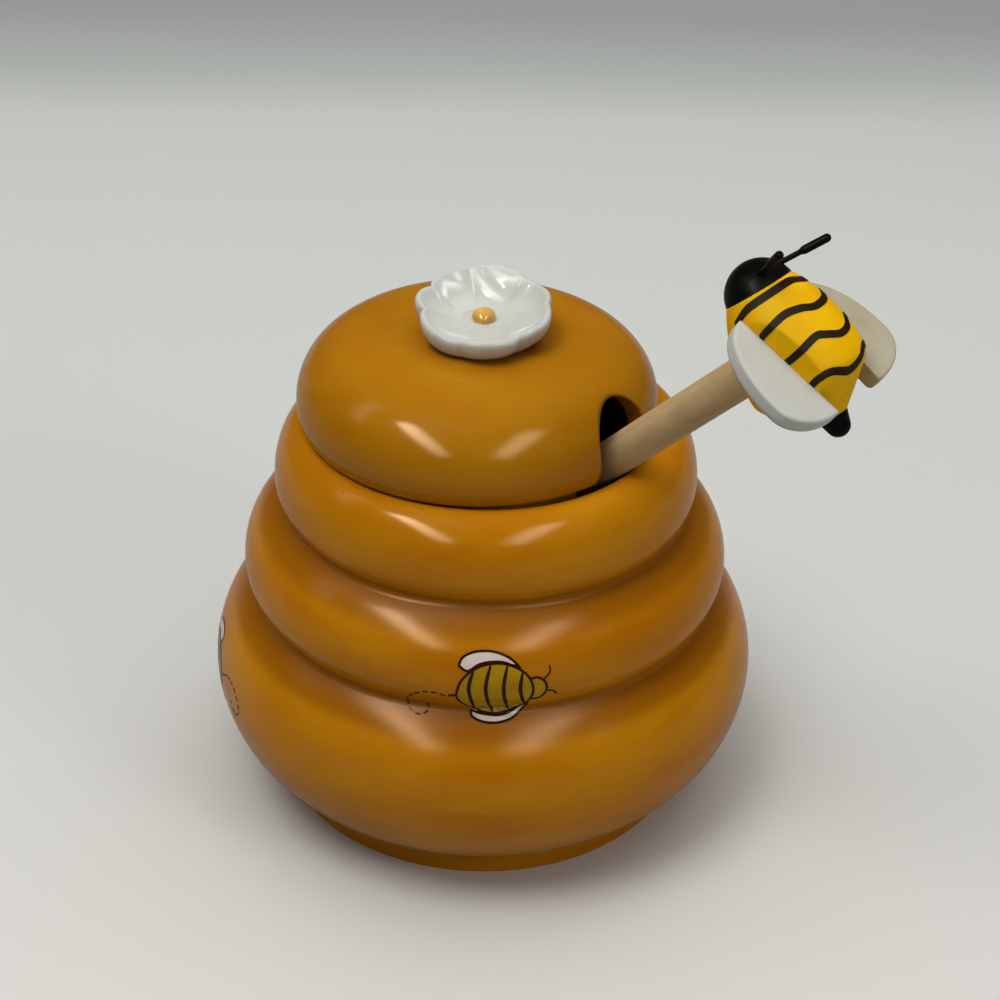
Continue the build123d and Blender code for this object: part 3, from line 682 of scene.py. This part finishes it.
tone = ramped(nt, (-250, 0), rescale(nt, (-450, 0), wobble, stage["ends"]), tones)
# the floor gives back less light than it shows, so the pot's underside stays deep
path = addNode(nt, "ShaderNodeLightPath", (-250, 300))
shown = mixColours(nt, (0, 100), path.outputs["Is Camera Ray"], stage["bounce"], tone)
join(nt, shown, bsdf.inputs["Base Color"])
bsdf.inputs["Roughness"].default_value = stage["roughness"]
bsdf.inputs["Specular IOR Level"].default_value = stage["level"]
floor = finish(bm, "floor", floorMat, None)

# ---------------------------------------------------------------- light
light = {
    "sky": 0.14, "seen": 0.8, "cool": (0.97, 0.985, 1.0, 1), "mirrored": (1.0, 0.72, 0.36, 1),
    "aim": 0.06, "fillColour": (1, 1, 1), "windowColour": (1, 0.96, 0.9),
    # where each panel starts and ends (azimuth, elevation), distance, width, power, soft edges, power left at its end
    "fills": {
        "ceiling": ((37, 60), (217, 46), 1.6, 2.0, 19.5, (0.12, 0.12), 1.0),
        "frontFill": ((-45, 56), (20, 66), 1.4, 0.8, 11.5, (0.2, 0.2), 1.0),
        "notchFill": ((80, 28), (100, 28), 1.2, 0.4, 4.0, (0.2, 0.2), 1.0),
    },
    "windows": {
        "leftWindow": ((-38, 57), (20, 20), 1.2, 0.26, 36.0, (0.15, 0.35), 0.15),
        "rightWindow": ((98, 58), (48, 18), 1.2, 0.4, 20.0, (0.3, 0.45), 0.7),
        "sideWindow": ((-78, 58), (-46, 22), 1.2, 0.3, 2.5, (0.3, 0.45), 0.8),
    },
}
world = bpy.context.scene.world or bpy.data.worlds.new("studio")
bpy.context.scene.world = world
world.use_nodes = True
nt = world.node_tree
sky = nt.nodes["Background"]
# the room is cool and dim where it lights, warm where it is mirrored and pale where it is seen
path = addNode(nt, "ShaderNodeLightPath", (-600, 300))
mirrored = mixColours(nt, (-300, 400), path.outputs["Is Glossy Ray"], light["cool"], light["mirrored"])
strength = rescale(nt, (-300, 100), path.outputs["Is Camera Ray"], toEnds=(light["sky"], light["seen"]))
join(nt, mirrored, sky.inputs["Color"])
join(nt, strength, sky.inputs["Strength"])


def towards(azimuth, elevation):
    a, e = rnd(azimuth), rnd(elevation)
    return Vector((math.sin(a) * math.cos(e), -math.cos(a) * math.cos(e), math.sin(e)))


def softPanel(name, colour, start, end, distance, width, power, edges, far):
    # a soft panel between two directions; its glow fades towards its frame and falls to far at its end
    a, b = towards(*start) * distance, towards(*end) * distance
    out = (a + b).normalized()
    along = (b - a).normalized()
    d = bpy.data.lights.new(name, "AREA")
    d.shape = "RECTANGLE"
    d.size, d.size_y = (b - a).length, width
    d.energy = power
    d.color = colour
    d.use_nodes = True
    nt = d.node_tree
    where = addNode(nt, "ShaderNodeNewGeometry", (-900, 0))
    split = addNode(nt, "ShaderNodeSeparateXYZ", (-700, 0), Vector=where.outputs["Parametric"])
    fades = []
    for k, axis in enumerate(("X", "Y")):
        fold = calculate(nt, "PINGPONG", (-500, -200 * k), split.outputs[axis], 0.5)
        fades.append(rescale(nt, (-300, -200 * k), fold, (0, edges[k]), kind="SMOOTHSTEP"))
    both = calculate(nt, "MULTIPLY", (-100, 0), *fades)
    fall = rescale(nt, (-300, 250), split.outputs["X"], toEnds=(1, far))
    join(nt, calculate(nt, "MULTIPLY", (50, 0), both, fall), nt.nodes["Emission"].inputs["Strength"])
    ob = bpy.data.objects.new(name, d)
    ob.location = Vector((0, 0, light["aim"])) + (a + b) / 2
    ob.rotation_mode = "QUATERNION"
    ob.rotation_quaternion = Matrix((along, out.cross(along), out)).transposed().to_quaternion()
    bpy.context.scene.collection.objects.link(ob)
    return ob


for name, values in light["fills"].items():
    softPanel(name, light["fillColour"], *values).visible_glossy = False
for name, values in light["windows"].items():
    softPanel(name, light["windowColour"], *values).visible_diffuse = False
print("stage and light ready")

# ---------------------------------------------------------------- camera
shot = {"distance": 0.45067, "height": 39.16, "azimuth": 37.0, "aimRight": 0.0072, "aimUp": 0.1177, "roll": 0.0194,
        "focalPixels": 2000.0, "widthPixels": 1000.0, "sensor": 36.0}
e, a = rnd(shot["height"]), rnd(shot["azimuth"])
place = Vector((0, -shot["distance"] * math.cos(e), shot["distance"] * math.sin(e)))
forward = -place.normalized()
right = Vector((1, 0, 0))
up = right.cross(forward)
look = (forward + right * math.tan(shot["aimRight"]) + up * math.tan(shot["aimUp"])).normalized()
right = look.cross(Vector((0, 0, 1))).normalized()
up = right.cross(look)
cr, sr = math.cos(shot["roll"]), math.sin(shot["roll"])
right, up = right * cr + up * sr, up * cr - right * sr
turnZ = Matrix.Rotation(a, 3, "Z")
camData = bpy.data.cameras.new("camera")
camData.sensor_width = shot["sensor"]
camData.lens = shot["sensor"] * shot["focalPixels"] / shot["widthPixels"]
cam = bpy.data.objects.new("camera", camData)
cam.location = turnZ @ place
axes = Matrix((turnZ @ right, turnZ @ up, turnZ @ -look)).transposed()
cam.rotation_mode = "QUATERNION"
cam.rotation_quaternion = axes.to_quaternion()
bpy.context.scene.collection.objects.link(cam)
bpy.context.scene.camera = cam
bpy.context.scene.view_settings.view_transform = "Standard"

print("camera ready")
